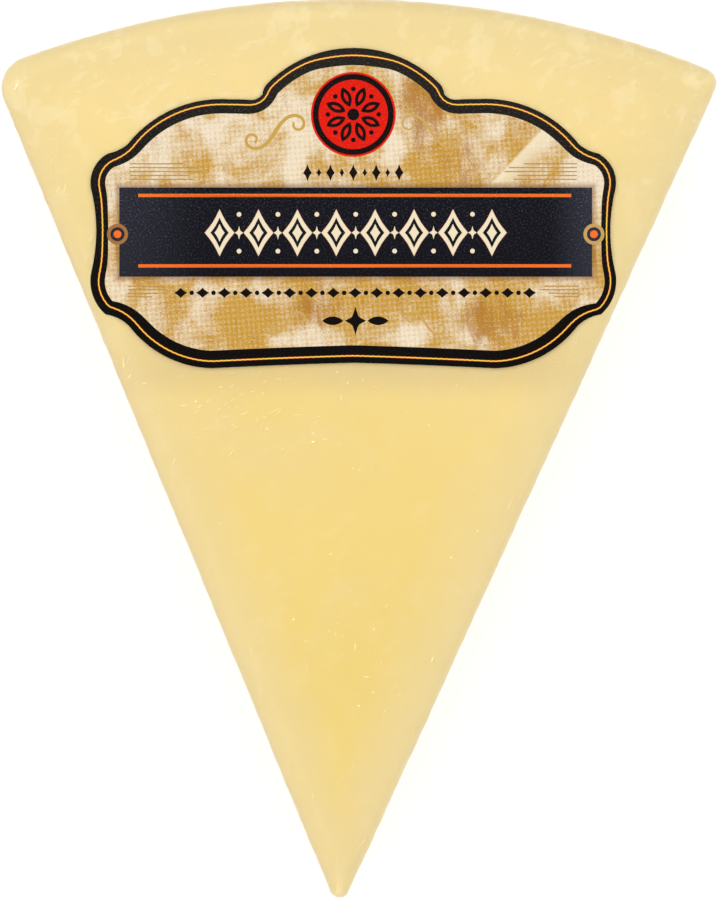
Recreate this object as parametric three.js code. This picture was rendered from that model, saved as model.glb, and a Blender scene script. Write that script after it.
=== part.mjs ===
// A chunk of parmesan: a wedge cut from a round cheese, in skin-tight clear film,
// with an ornamental label on its top face. Millimetres, +Z up, +Y from the point to the rear.
import * as THREE from 'three';

// Wedge, seen from above, measured from where its two sides would meet
const SIDE_ANGLE = THREE.MathUtils.degToRad(23.48);
const REAR_RADIUS = 135.1;
const REAR_CENTRE = new THREE.Vector2(1.77, -5.1);
const TIP_RADIUS = 1.4;
const REAR_RIGHT_RADIUS = 2.3;
const REAR_LEFT_RADIUS = 4.5;
const INNER_CORNER_RADIUS = 0.5;

// Wedge, seen from the side
const THICKNESS = 31;
const TOP_EDGE_RADIUS = 3.3;
const BASE_EDGE_RADIUS = 2;

// Gentle unevenness of the top face: height, wave length, direction and start of each swell
const SWELLS = [
  { height: 0.16, length: 58, direction: 0.5, start: 0.4 },
  { height: 0.11, length: 37, direction: 2.2, start: 1.9 },
  { height: 0.07, length: 26, direction: 1.3, start: 4.1 },
];
const SWELL_MARGIN = 9;

// Label: its place on the top face, its thickness and the layer of air and glue under it
const LABEL_CENTRE = new THREE.Vector2(0.16, 100.04);
const LABEL_TURN = THREE.MathUtils.degToRad(1.08);
const LABEL_LIFT = 0.3;
const LABEL_THICKNESS = 0.25;

// Right half of the label's outline from the middle of its crown to the middle of its foot:
// the end of each arc, and how far the arc bows out from the straight line to it
const LABEL_CROWN = new THREE.Vector2(0, 22.66);
const LABEL_ARCS = [
  { name: 'crown', x: 12.23, y: 17.58, bow: 1.33 },
  { name: 'crown corner', x: 12.86, y: 16.11, bow: 0.13 },
  { name: 'crown notch', x: 14.42, y: 15.33, bow: -0.2 },
  { name: 'shoulder start', x: 17.63, y: 15.43, bow: 0.04 },
  { name: 'shoulder', x: 31.88, y: 9.05, bow: 1.93 },
  { name: 'shoulder notch', x: 34.64, y: 7.74, bow: -0.19 },
  { name: 'upper ear', x: 37.07, y: 2.74, bow: 0.91 },
  { name: 'waist', x: 37.02, y: -8.85, bow: -0.7 },
  { name: 'lower ear', x: 35.03, y: -15, bow: 0.93 },
  { name: 'foot notch', x: 31.6, y: -16.75, bow: -0.32 },
  { name: 'foot', x: 19.95, y: -22.62, bow: 1.48 },
  { name: 'foot edge', x: 0, y: -21.83, bow: -0.06 },
];

// Fineness of the meshes
const TIP_STEPS = 6;
const SIDE_STEPS = 22;
const CORNER_STEPS = 5;
const REAR_STEPS = 24;
const TOP_EDGE_STEPS = 5;
const BASE_EDGE_STEPS = 3;
const WALL_STEPS = 3;
const TOP_RINGS = [0.86, 0.7, 0.54, 0.38, 0.2];
const LABEL_STEP = 1.8;
const LABEL_RINGS = [1, 0.965, 0.92, 0.84, 0.7, 0.52, 0.34, 0.16];

const CHEESE_COLOUR = 0xf2d893;
const LABEL_COLOUR = 0xd9b489;

// Where a side and the rear, both moved inwards by the inset, meet; side is 1 right, -1 left
function rearCorner(side, inset) {
  const along = new THREE.Vector2(side * Math.sin(SIDE_ANGLE), Math.cos(SIDE_ANGLE));
  const start = new THREE.Vector2(0, inset / Math.sin(SIDE_ANGLE)).sub(REAR_CENTRE);
  const reach = start.dot(along);
  const rest = start.lengthSq() - (REAR_RADIUS - inset) ** 2;
  const distance = -reach + Math.sqrt(reach * reach - rest);
  return start.addScaledVector(along, distance).add(REAR_CENTRE);
}

// Points along an arc, without its end
function arcPoints(centre, radius, from, to, steps) {
  const points = [];
  for (let i = 0; i < steps; i += 1) {
    const angle = THREE.MathUtils.lerp(from, to, i / steps);
    points.push(new THREE.Vector2(Math.cos(angle), Math.sin(angle)).multiplyScalar(radius).add(centre));
  }
  return points;
}

// Points along a straight line, without its end
function linePoints(from, to, steps) {
  return Array.from({ length: steps }, (_, i) => from.clone().lerp(to, i / steps));
}

// The wedge's outline moved inwards by the inset, counter-clockwise from the left of the tip
function wedgeOutline(inset) {
  const reach = (radius) => Math.max(radius, inset + INNER_CORNER_RADIUS);
  const tip = new THREE.Vector2(0, reach(TIP_RADIUS) / Math.sin(SIDE_ANGLE));
  const right = rearCorner(1, reach(REAR_RIGHT_RADIUS));
  const left = rearCorner(-1, reach(REAR_LEFT_RADIUS));
  const rearFrom = right.clone().sub(REAR_CENTRE).angle();
  const rearTo = left.clone().sub(REAR_CENTRE).angle();
  const rightFacing = -SIDE_ANGLE;
  const leftFacing = Math.PI + SIDE_ANGLE;
  const tipArc = arcPoints(tip, reach(TIP_RADIUS) - inset, leftFacing, 2 * Math.PI + rightFacing, TIP_STEPS);
  const rightArc = arcPoints(right, reach(REAR_RIGHT_RADIUS) - inset, rightFacing, rearFrom, CORNER_STEPS);
  const rearArc = arcPoints(REAR_CENTRE, REAR_RADIUS - inset, rearFrom, rearTo, REAR_STEPS);
  const leftArc = arcPoints(left, reach(REAR_LEFT_RADIUS) - inset, rearTo, leftFacing, CORNER_STEPS);
  const tipEnd = new THREE.Vector2(Math.cos(rightFacing), Math.sin(rightFacing))
    .multiplyScalar(reach(TIP_RADIUS) - inset)
    .add(tip);
  const leftEnd = new THREE.Vector2(Math.cos(leftFacing), Math.sin(leftFacing))
    .multiplyScalar(reach(REAR_LEFT_RADIUS) - inset)
    .add(left);
  return [
    ...tipArc,
    ...linePoints(tipEnd, rightArc[0], SIDE_STEPS),
    ...rightArc,
    ...rearArc,
    ...leftArc,
    ...linePoints(leftEnd, tipArc[0], SIDE_STEPS),
  ];
}

// Distance from a point of the top face to the nearest of the two sides and the rear
function insetAt(x, y) {
  const toSide = y * Math.sin(SIDE_ANGLE) - Math.abs(x) * Math.cos(SIDE_ANGLE);
  const toRear = REAR_RADIUS - Math.hypot(x - REAR_CENTRE.x, y - REAR_CENTRE.y);
  return Math.min(toSide, toRear);
}

// Unevenness of the top face, which dies out towards its edge
function swellAt(x, y) {
  const height = SWELLS.reduce((sum, swell) => {
    const run = x * Math.cos(swell.direction) + y * Math.sin(swell.direction);
    return sum + swell.height * Math.sin((2 * Math.PI * run) / swell.length + swell.start);
  }, 0);
  return height * THREE.MathUtils.smoothstep(insetAt(x, y), 0, SWELL_MARGIN);
}

// Height of a layer that lies on the top face and its rounded edge, lifted off it evenly
function layerHeight(x, y, lift) {
  const beyond = Math.max(TOP_EDGE_RADIUS - insetAt(x, y), 0);
  const rise = Math.sqrt((TOP_EDGE_RADIUS + lift) ** 2 - beyond ** 2);
  return THICKNESS - TOP_EDGE_RADIUS + rise + swellAt(x, y);
}

// Collects rings of points and the triangles between them into one closed geometry
class RingSkin {
  constructor() {
    this.positions = [];
    this.triangles = [];
  }

  addRing(points, heightOf) {
    const ring = points.map(({ x, y }) => {
      this.positions.push(x, y, heightOf(x, y));
      return this.positions.length / 3 - 1;
    });
    return ring;
  }

  // Joins an outer ring to an inner one that has as many points, or half as many
  join(outer, inner) {
    const ratio = outer.length / inner.length;
    inner.forEach((a, i) => {
      const b = inner[(i + 1) % inner.length];
      const run = Array.from({ length: ratio + 1 }, (_, k) => outer[(i * ratio + k) % outer.length]);
      this.triangles.push(run[0], run[1], a);
      if (ratio === 2) {
        this.triangles.push(run[1], b, a, run[1], run[2], b);
      } else {
        this.triangles.push(run[1], b, a);
      }
    });
  }

  closeTo(ring, centre, heightOf) {
    const [middle] = this.addRing([centre], heightOf);
    ring.forEach((a, i) => this.triangles.push(a, ring[(i + 1) % ring.length], middle));
  }

  geometry() {
    const geometry = new THREE.BufferGeometry();
    geometry.setAttribute('position', new THREE.Float32BufferAttribute(this.positions, 3));
    geometry.setIndex(this.triangles);
    geometry.computeVertexNormals();
    return geometry;
  }
}

const scaled = (points, centre, factor) =>
  points.map((point) => point.clone().sub(centre).multiplyScalar(factor).add(centre));

const everySecond = (points) => points.filter((_, i) => i % 2 === 0);

// Body of the chunk: flat base, rounded base edge, upright wall, rounded top edge, uneven top
function wrappedCheese() {
  const skin = new RingSkin();
  const middle = new THREE.Vector2(0, 88);
  const levels = [];
  for (let i = 0; i <= BASE_EDGE_STEPS; i += 1) {
    const angle = (Math.PI / 2) * (1 - i / BASE_EDGE_STEPS);
    const inset = BASE_EDGE_RADIUS * (1 - Math.cos(angle));
    levels.push({ inset, z: BASE_EDGE_RADIUS * (1 - Math.sin(angle)) });
  }
  const wallTop = THICKNESS - TOP_EDGE_RADIUS;
  for (let i = 1; i < WALL_STEPS; i += 1) {
    levels.push({ inset: 0, z: THREE.MathUtils.lerp(BASE_EDGE_RADIUS, wallTop, i / WALL_STEPS) });
  }
  for (let i = 0; i <= TOP_EDGE_STEPS; i += 1) {
    const angle = (Math.PI / 2) * (i / TOP_EDGE_STEPS);
    const inset = TOP_EDGE_RADIUS * (1 - Math.cos(angle));
    levels.push({ inset, z: wallTop + TOP_EDGE_RADIUS * Math.sin(angle) });
  }
  const rings = levels.map(({ inset, z }) => {
    const heightOf = z > wallTop ? (x, y) => z + swellAt(x, y) : () => z;
    return skin.addRing(wedgeOutline(inset), heightOf);
  });
  rings.slice(1).forEach((ring, i) => skin.join(rings[i], ring));

  let points = wedgeOutline(TOP_EDGE_RADIUS);
  let outer = rings.at(-1);
  const onTop = (x, y) => THICKNESS + swellAt(x, y);
  const rim = points;
  TOP_RINGS.forEach((factor, i) => {
    const thinned = i === 1 || i === 3;
    points = scaled(rim, middle, factor).filter((_, k) => k % (rim.length / outer.length) === 0);
    points = thinned ? everySecond(points) : points;
    const inner = skin.addRing(points, onTop);
    skin.join(outer, inner);
    outer = inner;
  });
  skin.closeTo(outer, middle, onTop);
  skin.closeTo([...rings[0]].reverse(), middle, () => 0);
  return skin.geometry();
}

// Points along an arc between two points that bows out to the left of its direction
function bowedPoints(from, to, bow) {
  const chord = to.clone().sub(from);
  const half = chord.length() / 2;
  const radius = (half * half + bow * bow) / (2 * bow);
  const outward = new THREE.Vector2(-chord.y, chord.x).normalize();
  const centre = from.clone().lerp(to, 0.5).addScaledVector(outward, bow - radius);
  const sweep = -2 * Math.asin(half / radius);
  const steps = Math.max(2, Math.ceil(Math.abs(sweep * radius) / LABEL_STEP));
  return Array.from({ length: steps }, (_, i) => from.clone().rotateAround(centre, (sweep * i) / steps));
}

// The label's whole outline about its own centre, counter-clockwise
function labelOutline() {
  const right = [];
  let from = LABEL_CROWN;
  LABEL_ARCS.forEach(({ x, y, bow }) => {
    const to = new THREE.Vector2(x, y);
    right.push(...bowedPoints(from, to, bow));
    from = to;
  });
  right.push(from);
  const left = right.slice(1, -1).map(({ x, y }) => new THREE.Vector2(-x, y));
  return [...left, ...right.reverse()];
}

// Label: a thin plate that follows the top face and bends down over its rounded edges
function topLabel() {
  const skin = new RingSkin();
  const place = (point) => point.clone().rotateAround(new THREE.Vector2(), LABEL_TURN).add(LABEL_CENTRE);
  const outline = labelOutline();
  const origin = new THREE.Vector2();
  const underside = (x, y) => layerHeight(x, y, LABEL_LIFT);
  const upperSide = (x, y) => layerHeight(x, y, LABEL_LIFT + LABEL_THICKNESS);
  const rims = [upperSide, underside].map((heightOf) => {
    const rings = LABEL_RINGS.map((factor) =>
      skin.addRing(scaled(outline, origin, factor).map(place), heightOf));
    const facing = heightOf === upperSide ? rings : rings.map((ring) => [...ring].reverse());
    facing.slice(1).forEach((ring, i) => skin.join(facing[i], ring));
    skin.closeTo(facing.at(-1), LABEL_CENTRE, heightOf);
    return rings[0];
  });
  skin.join(rims[1], rims[0]);
  return skin.geometry();
}

function piece(name, geometry, colour, roughness) {
  const material = new THREE.MeshStandardMaterial({ color: colour, roughness, metalness: 0 });
  const mesh = new THREE.Mesh(geometry, material);
  mesh.name = name;
  return mesh;
}

const group = new THREE.Group();
group.add(
  piece('wrapped_cheese', wrappedCheese(), CHEESE_COLOUR, 0.3),
  piece('top_label', topLabel(), LABEL_COLOUR, 0.5),
);
const middle = new THREE.Box3().setFromObject(group).getCenter(new THREE.Vector3());
group.position.set(-middle.x, -middle.y, 0);

export default group;
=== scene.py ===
# The looks of a film-wrapped chunk of parmesan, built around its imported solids.
# The cheese, the clear film on it, the marks in the film and the printed label are pieces of their own.
import math

import bpy
import numpy as np
from bpy.props import FloatProperty, FloatVectorProperty, PointerProperty
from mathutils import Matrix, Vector, noise
from mathutils.geometry import delaunay_2d_cdt


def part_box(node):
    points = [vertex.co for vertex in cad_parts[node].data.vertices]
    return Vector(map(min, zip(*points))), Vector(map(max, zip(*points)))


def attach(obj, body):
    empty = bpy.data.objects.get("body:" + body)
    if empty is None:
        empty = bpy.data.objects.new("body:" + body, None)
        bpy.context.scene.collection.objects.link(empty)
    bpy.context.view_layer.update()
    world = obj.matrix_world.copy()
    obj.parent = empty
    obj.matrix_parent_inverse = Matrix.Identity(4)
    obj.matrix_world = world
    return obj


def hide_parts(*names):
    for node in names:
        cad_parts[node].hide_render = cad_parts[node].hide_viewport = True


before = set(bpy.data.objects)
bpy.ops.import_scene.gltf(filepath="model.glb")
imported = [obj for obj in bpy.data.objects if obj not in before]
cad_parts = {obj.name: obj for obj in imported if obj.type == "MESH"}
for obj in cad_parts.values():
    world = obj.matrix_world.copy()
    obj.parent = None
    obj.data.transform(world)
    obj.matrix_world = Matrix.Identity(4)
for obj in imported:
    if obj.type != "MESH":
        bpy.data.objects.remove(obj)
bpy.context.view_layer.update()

bl_info = {
    "name": "Parmesan Chunk",
    "version": (1, 0, 0),
    "blender": (4, 5, 0),
    "location": "3D View > Sidebar > Parmesan",
    "description": "Builds a wedge of parmesan in clear film, with an ornamental paper label",
    "category": "Add Mesh",
}

MM = 0.001
BODY = "root"
CHEESE_NODE = "wrapped_cheese"
LABEL_NODE = "top_label"

# Wedge in millimetres, seen from above, measured from where its two sides would meet
SIDE_ANGLE = math.radians(23.48)
REAR_RADIUS = 135.1
REAR_CENTRE = np.array([1.77, -5.1])
TIP_RADIUS = 1.4
REAR_RIGHT_RADIUS = 2.3
REAR_LEFT_RADIUS = 4.5
INNER_CORNER_RADIUS = 0.5
TOP_EDGE_RADIUS = 3.3
BASE_EDGE_RADIUS = 2.0
THICKNESS = 31.0

# Waves of the top face: height and length in millimetres, direction and start in radians
SWELLS = (
    (0.16, 58.0, 0.5, 0.4),
    (0.11, 37.0, 2.2, 1.9),
    (0.07, 26.0, 1.3, 4.1),
)
SWELL_MARGIN = 9.0

# How fine the wedge's skins are, in millimetres, how far off a grid their points lie, as a share
# of that, and the smallest triangle that they keep
RING_SPACING = 0.6
TOP_SPACING = 0.7
BASE_SPACING = 2.5 * TOP_SPACING
GRID_JITTER = 0.16
SLIVER_AREA = 1e-4

# Label in millimetres: its place on the wedge and the arcs of its right half, as end and bow
LABEL_CENTRE = np.array([0.16, 100.04])
LABEL_TURN = math.radians(1.08)
LABEL_LIFT = 0.3
LABEL_THICKNESS = 0.25
LABEL_BACK = 0.04
LABEL_CROWN = (0.0, 22.66)
LABEL_ARCS = (
    ("crown", 12.23, 17.58, 1.33),
    ("crown corner", 12.86, 16.11, 0.13),
    ("crown notch", 14.42, 15.33, -0.2),
    ("shoulder start", 17.63, 15.43, 0.04),
    ("shoulder", 31.88, 9.05, 1.93),
    ("shoulder notch", 34.64, 7.74, -0.19),
    ("upper ear", 37.07, 2.74, 0.91),
    ("waist", 37.02, -8.85, -0.7),
    ("lower ear", 35.03, -15.0, 0.93),
    ("foot notch", 31.6, -16.75, -0.32),
    ("foot", 19.95, -22.62, 1.48),
    ("foot edge", 0.0, -21.83, -0.06),
)

# How fine the label's mesh is, in millimetres: at its outline, where it is flat and where it bends
OUTLINE_SPACING = 0.5
FLAT_SPACING = 1.1
BEND_SPACING = 0.4
SUPPORT_MARGIN = 0.3

# Label artwork in millimetres from the label's centre
BAND_MIDDLE = (0.34, -3.37)
BAND_HALF = (33.42, 6.3)
RULE_ENDS = (-30.4, 30.8)
RULE_HEIGHTS = (1.81, -8.14)
RULE_HALF = 0.235
FRIEZE_COUNT = 8
FRIEZE_PITCH = 5.5
FRIEZE_HEIGHT = -3.45
FRIEZE_DIAMONDS = (
    ("misprint_ink", 2.22, 3.45), ("cream_ink", 2.1, 3.3), ("band_ink", 1.3, 2.15), ("cream_ink", 0.72, 1.25),
)
SEAL_CENTRE = (0.0, 13.28)
RIVET_REACH = 33.68
RIVET_HEIGHT = -3.66
RIVET_RADII = (1.49, 1.0, 0.55)
STAR_CENTRE = (0.3, -15.9)

# Engraved lines at the parchment's ends: where they end, the highest one, their pitch and lengths
HATCHES = (
    (31.6, 6.2, 0.55, (7.5, 9.6, 10.2, 8.4, 9.0)),
    (31.9, -11.1, 0.5, (4.9, 5.6, 4.3, 3.5)),
)
HATCH_WIDTH = 0.17

# The twisted gold line in the border, in millimetres
TWIST_PITCH = 0.74
TWIST_STEPS = 6
TWIST_SWAY = 0.026
GOLD_HALF = 0.068
AMBER_HALF = 0.138

# How deep the border's printed lines lie: the print isn't quite centred on the cut label
GOLD_DEPTHS = {"crown": 1.04, "shoulder": 0.75, "foot": 0.99, "left": 1.17, "right": 0.8, "waist": -0.25}
PAPER_DEPTHS = {"crown": 2.42, "shoulder": 2.03, "foot": 2.48, "left": 2.06, "right": 1.66, "waist": -0.34}

# Where those depths pass into each other, in millimetres from the label's centre
FOOT_TO_SHOULDER = (-14.0, 6.0)
SHOULDER_TO_CROWN = (21.2, 22.7)
MIDDLE_TO_SIDE = (30.0, 35.5)
WAIST_HEIGHT = -3.0
WAIST_SPAN = (5.5, 1.0)

# The parchment's screen of dots: its two pitches in millimetres, and its turn
SCREEN_PITCHES = (0.694, 0.752)
SCREEN_TURN = math.radians(4.85)

# Stains of the printed parchment: middle, half width and height in millimetres, and strength
OCHRE_STAINS = (
    (-20.5, -15.5, 6.0, 4.0, 0.12),
    (-15.5, -17.0, 6.0, 4.5, 0.4),
    (9.8, 15.5, 3.5, 6.0, 0.22),
    (14.0, -17.0, 7.0, 5.0, 0.15),
    (25.5, -15.0, 6.5, 5.0, 0.25),
    (14.5, 6.1, 8.0, 4.5, 0.15),
    (3.0, -14.0, 10.0, 3.5, 0.2),
)
BROWN_STAINS = (
    (9.8, 14.5, 3.2, 6.5, 0.7),
    (19.5, -15.8, 5.0, 3.4, 0.6),
    (15.5, 6.5, 5.0, 4.5, 0.25),
    (-2.0, -13.0, 9.0, 3.0, 0.2),
    (-5.8, -15.0, 3.0, 2.5, 0.4),
)
PALE_STAINS = (
    (-7.6, 6.5, 2.4, 5.5, 0.35),
    (-16.5, 11.0, 7.0, 4.5, 0.28),
    (-29.0, 8.0, 6.5, 5.0, 0.2),
    (-27.0, -16.0, 5.0, 3.0, 0.1),
    (-8.0, 16.5, 4.5, 5.0, 0.1),
    (-11.0, -16.8, 2.2, 2.6, 0.2),
    (-3.5, -18.5, 6.0, 1.8, 0.25),
    (8.8, -17.9, 2.4, 2.0, 0.45),
    (26.5, -12.8, 3.0, 2.2, 0.3),
    (19.5, 8.5, 2.5, 5.0, 0.3),
    (5.7, 8.2, 1.6, 2.5, 0.25),
    (33.0, 4.0, 3.5, 6.5, 0.5),
)

# A pale band that slants across the parchment like a fold
FOLD_MIDDLE = (23.0, 7.6)
FOLD_TURN = math.radians(47)

# Groups of creases in the film, in millimetres and degrees: middle, spread, count, turn, how far
# the turn varies, and the longest crease
CREASE_GROUPS = (
    ((-15.4, 71.5), (8.0, 3.4), 50, 31, 22, 1.2),
    ((-29.1, 116.8), (8.0, 3.6), 44, 28, 20, 1.2),
    ((39.2, 118.5), (5.1, 2.8), 30, 35, 30, 1.2),
    ((10.2, 68.9), (10.0, 4.3), 24, 110, 40, 0.9),
    ((1.4, 30.0), (6.0, 11.0), 40, 62, 45, 1.0),
    ((-40.2, 100.7), (2.6, 8.5), 30, 60, 18, 1.7),
)

# Groups of beads of air under the film, in millimetres: middle, spread, count and largest radius
BEAD_GROUPS = (
    ((-2.3, 53.0), (8.5, 8.5), 14, 0.15),
    ((6.8, 24.7), (4.8, 5.7), 11, 0.13),
    ((-6.9, 70.0), (15.6, 3.7), 15, 0.12),
    ((-22.0, 118.1), (15.6, 4.3), 24, 0.1),
)

# Creases along the wedge's left and right side, as side and count, and sizes of marks in millimetres
SIDE_CREASES = ((-1, 85), (1, 32))
CREASE_HALF_WIDTHS = (0.035, 0.085)
SIDE_CREASE_HALF_WIDTHS = (0.03, 0.08)
SIDE_CREASE_LENGTHS = (0.4, 2.2)
MARK_HEIGHT = 0.018
MARK_DEPTH = 0.012
MARK_MARGIN = 1.0

# Camera: it looks straight down, turned as the label is, at this point of the wedge
CAMERA_AIM = np.array([1.609, 65.89])
CAMERA_TURN = LABEL_TURN
CAMERA_DISTANCE = 620.0
OUTLINE_HEIGHT = 28.0
PHOTO_HEIGHT = 900
PIXELS_PER_MM = 7.0308

# Light: a white tent, a little dimmer low down
TENT_LIGHT = 1.52
TENT_FOOT = 0.9

# The label lies bare in this light, so its inks reflect this share of the colour that they show
PRINT_SHARE = 0.64


def tone(red, green, blue):
    """A colour given as display values from 0 to 255, as linear values from 0 to 1."""
    def linear(value):
        share = value / 255
        return share / 12.92 if share <= 0.04045 else ((share + 0.055) / 1.055) ** 2.4

    return tuple(linear(value) for value in (red, green, blue))


# Wedge outline and heights

def polar(angle, radius=1.0):
    return np.array([math.cos(angle), math.sin(angle)]) * radius


def rear_corner(side, inset):
    """Where a side and the rear, both moved inwards by the inset, meet; side is 1 right, -1 left."""
    along = np.array([side * math.sin(SIDE_ANGLE), math.cos(SIDE_ANGLE)])
    start = np.array([0, inset / math.sin(SIDE_ANGLE)]) - REAR_CENTRE
    reach = start @ along
    distance = -reach + math.sqrt(reach * reach - start @ start + (REAR_RADIUS - inset) ** 2)
    return start + along * distance + REAR_CENTRE


def arc_points(centre, radius, begin, end, steps):
    angles = begin + (end - begin) * np.arange(steps)[:, None] / steps
    return centre + radius * np.hstack((np.cos(angles), np.sin(angles)))


def line_points(begin, end, steps):
    return begin + (end - begin) * np.arange(steps)[:, None] / steps


def wedge_ring(inset, spacing):
    """The wedge's outline moved inwards, counter-clockwise; its count depends on the spacing alone."""
    def reach(radius):
        return max(radius, inset + INNER_CORNER_RADIUS)

    def steps(length):
        return max(10, math.ceil(length / spacing))

    tip = np.array([0, reach(TIP_RADIUS) / math.sin(SIDE_ANGLE)])
    right, left = rear_corner(1, reach(REAR_RIGHT_RADIUS)), rear_corner(-1, reach(REAR_LEFT_RADIUS))
    rear_begin = math.atan2(*(right - REAR_CENTRE)[::-1])
    rear_end = math.atan2(*(left - REAR_CENTRE)[::-1])
    facing_right, facing_left = -SIDE_ANGLE, math.pi + SIDE_ANGLE
    tip_radius = reach(TIP_RADIUS) - inset
    right_radius = reach(REAR_RIGHT_RADIUS) - inset
    left_radius = reach(REAR_LEFT_RADIUS) - inset
    quarter = math.pi / 2
    return np.vstack((
        arc_points(tip, tip_radius, facing_left, 2 * math.pi + facing_right,
                   steps(2 * quarter * TIP_RADIUS)),
        line_points(tip + polar(facing_right, tip_radius), right + polar(facing_right, right_radius),
                    steps(REAR_RADIUS)),
        arc_points(right, right_radius, facing_right, rear_begin, steps(quarter * REAR_RIGHT_RADIUS)),
        arc_points(REAR_CENTRE, REAR_RADIUS - inset, rear_begin, rear_end,
                   steps(2 * SIDE_ANGLE * REAR_RADIUS)),
        arc_points(left, left_radius, rear_end, facing_left, steps(quarter * REAR_LEFT_RADIUS)),
        line_points(left + polar(facing_left, left_radius), tip + polar(facing_left, tip_radius),
                    steps(REAR_RADIUS)),
    ))


def inset_at(x, y):
    """Distance from points inside the wedge to the nearest of its two sides and its rear."""
    to_side = y * math.sin(SIDE_ANGLE) - np.abs(x) * math.cos(SIDE_ANGLE)
    to_rear = REAR_RADIUS - np.hypot(x - REAR_CENTRE[0], y - REAR_CENTRE[1])
    return np.minimum(to_side, to_rear)


def eased(value, low, high):
    share = np.clip((value - low) / (high - low), 0, 1)
    return share * share * (3 - 2 * share)


def swell_at(x, y):
    """Unevenness of the top face, which dies out towards its edge."""
    height = np.zeros_like(x)
    for tall, length, direction, start in SWELLS:
        run = x * math.cos(direction) + y * math.sin(direction)
        height += tall * np.sin(2 * math.pi * run / length + start)
    return height * eased(inset_at(x, y), 0, SWELL_MARGIN)


def layer_height(x, y, lift):
    """Height of a layer that lies on the top face and its rounded edge, lifted off it evenly."""
    beyond = np.maximum(TOP_EDGE_RADIUS - inset_at(x, y), 0)
    rise = np.sqrt(np.maximum((TOP_EDGE_RADIUS + lift) ** 2 - beyond**2, 0))
    return THICKNESS - TOP_EDGE_RADIUS + rise + swell_at(x, y)


def wedge_origin():
    """Where the point in which the wedge's sides would meet lies in the model, in millimetres."""
    low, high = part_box(CHEESE_NODE)
    ring = wedge_ring(0, 0.25)
    middle = (ring.min(0) + ring.max(0)) / 2
    return np.array([low.x + high.x, low.y + high.y]) / 2 / MM - middle


ORIGIN = wedge_origin()


# Meshes

def field_of(function, points):
    """A mathutils noise function at many points."""
    return np.array([function(Vector(point)) for point in points])


def left_of(along):
    """Unit vectors to the left of directions, which is inwards on a counter-clockwise outline."""
    return np.column_stack((-along[:, 1], along[:, 0])) / np.linalg.norm(along, axis=1)[:, None]


def jittered_grid(ring, spacing, margin, seed):
    """Points spread evenly inside a convex ring, a little off a regular grid."""
    low, high = ring.min(0), ring.max(0)
    rows = np.arange(low[1], high[1], spacing * math.sqrt(3) / 2)
    columns = np.arange(low[0], high[0], spacing)
    grid = np.array([
        (x + (row % 2) * spacing / 2, y) for row, y in enumerate(rows) for x in columns
    ])
    grid += np.random.default_rng(seed).uniform(-GRID_JITTER, GRID_JITTER, grid.shape) * spacing
    inward = left_of(np.roll(ring, -1, 0) - ring)
    depth = np.min(grid @ inward.T - np.sum(ring * inward, 1), axis=1)
    return grid[depth > margin]


def triangle_area(corners):
    (ax, ay), (bx, by), (cx, cy) = corners
    return abs((bx - ax) * (cy - ay) - (cx - ax) * (by - ay)) / 2


def filled_disc(ring, spacing, seed):
    """Extra points and the triangles that fill a convex ring."""
    inner = jittered_grid(ring, spacing, 0.55 * spacing, seed)
    points = [Vector(point) for point in np.vstack((ring, inner))]
    count = len(ring)
    edges = [(i, (i + 1) % count) for i in range(count)]
    made = delaunay_2d_cdt(points, edges, [], 0, 1e-7)
    flat = np.array(made[0])
    wide_enough = [face for face in made[2] if triangle_area(flat[face]) > SLIVER_AREA]
    return inner, [[made[3][corner][0] for corner in face] for face in wide_enough]


def wedge_shell(lift, seed):
    """Points and faces of a closed skin on the wedge, lifted off its surface evenly."""
    rings = []
    base_steps, edge_steps = 6, 12
    for i in range(base_steps + 1):
        turn = polar(math.pi / 2 * (1 - i / base_steps), BASE_EDGE_RADIUS + lift)
        rings.append(tuple(BASE_EDGE_RADIUS - turn))
    wall_top = THICKNESS - TOP_EDGE_RADIUS
    wall_steps = math.ceil((wall_top - BASE_EDGE_RADIUS) / RING_SPACING)
    for i in range(1, wall_steps):
        rings.append((-lift, BASE_EDGE_RADIUS + (wall_top - BASE_EDGE_RADIUS) * i / wall_steps))
    for i in range(edge_steps + 1):
        inward, upward = polar(math.pi / 2 * i / edge_steps, TOP_EDGE_RADIUS + lift)
        rings.append((TOP_EDGE_RADIUS - inward, wall_top + upward))

    layers = [wedge_ring(inset, RING_SPACING) for inset, _ in rings]
    count = len(layers[0])
    points = [np.column_stack((layer, np.full(count, z))) for layer, (_, z) in zip(layers, rings)]
    faces = []
    for level in range(len(rings) - 1):
        below, above = level * count, (level + 1) * count
        for i in range(count):
            j = (i + 1) % count
            faces.append((below + i, below + j, above + j, above + i))
    total = count * len(rings)
    for level, z, fineness, turned in (
        (len(rings) - 1, rings[-1][1], TOP_SPACING, False),
        (0, rings[0][1], BASE_SPACING, True),
    ):
        inner, triangles = filled_disc(layers[level], fineness, seed)
        points.append(np.column_stack((inner, np.full(len(inner), z))))
        for face in triangles:
            placed = [corner + level * count if corner < count else corner - count + total for corner in face]
            faces.append(placed[::-1] if turned else placed)
        total += len(inner)
    points = np.vstack(points)
    on_top = eased(points[:, 2], wall_top, wall_top + TOP_EDGE_RADIUS)
    points[:, 2] += swell_at(points[:, 0], points[:, 1]) * on_top
    return points, faces


def add_object(name, data):
    made = bpy.data.objects.new(name, data)
    bpy.context.scene.collection.objects.link(made)
    return made


def new_piece(name, points, faces, materials, smooth=True):
    """A mesh object from points in millimetres from the wedge's own origin."""
    placed = (points + np.array([ORIGIN[0], ORIGIN[1], 0])) * MM
    mesh = bpy.data.meshes.new(name)
    mesh.from_pydata(placed.tolist(), [], faces)
    mesh.validate()
    for material in materials:
        mesh.materials.append(material)
    mesh.polygons.foreach_set("use_smooth", [smooth] * len(mesh.polygons))
    piece = add_object(name, mesh)
    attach(piece, BODY)
    return piece


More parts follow.
